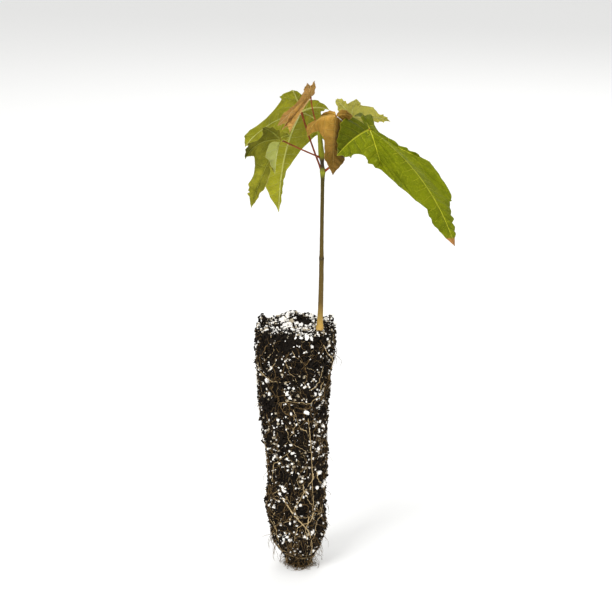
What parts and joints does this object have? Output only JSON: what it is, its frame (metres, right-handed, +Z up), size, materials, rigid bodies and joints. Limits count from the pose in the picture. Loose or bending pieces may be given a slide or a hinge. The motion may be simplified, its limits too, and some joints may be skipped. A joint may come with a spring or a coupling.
{
  "type": "maple seedling with root ball",
  "caption": "Young broad-leaved maple seedling standing on its tapered container plug of peat, perlite and roots, with drooping lobed leaves on long red stalks",
  "frame": {"origin": "The middle of the flat underside of the root ball, on the surface the plant stands on.", "axes": "+Z is up along the stem. +X is to the right and +Y away, seen from the side that the largest leaf hangs in front of."},
  "size_m": [0.1268, 0.0879, 0.315],
  "materials": {
    "peat": "crumbly moist peat with white perlite grains and tan roots",
    "bark": "thin smooth bark, amber at the base and olive brown above",
    "stalk": "smooth dark red leaf stalks",
    "leaf_mature": "satin green leaf, rich above and pale with raised veins below",
    "leaf_young": "satin bronze young leaf"
  },
  "bodies": {
    "root": {"root_ball": "peat", "stem": "bark", "stalk_a": "stalk", "stalk_b": "stalk", "stalk_c": "stalk", "stalk_d": "stalk", "stalk_e": "stalk", "stalk_f": "stalk", "leaf_a": "leaf_mature", "leaf_b": "leaf_mature", "leaf_c": "leaf_young", "leaf_d": "leaf_young", "leaf_e": "leaf_mature", "leaf_f": "leaf_mature"}
  },
  "joints": []
}
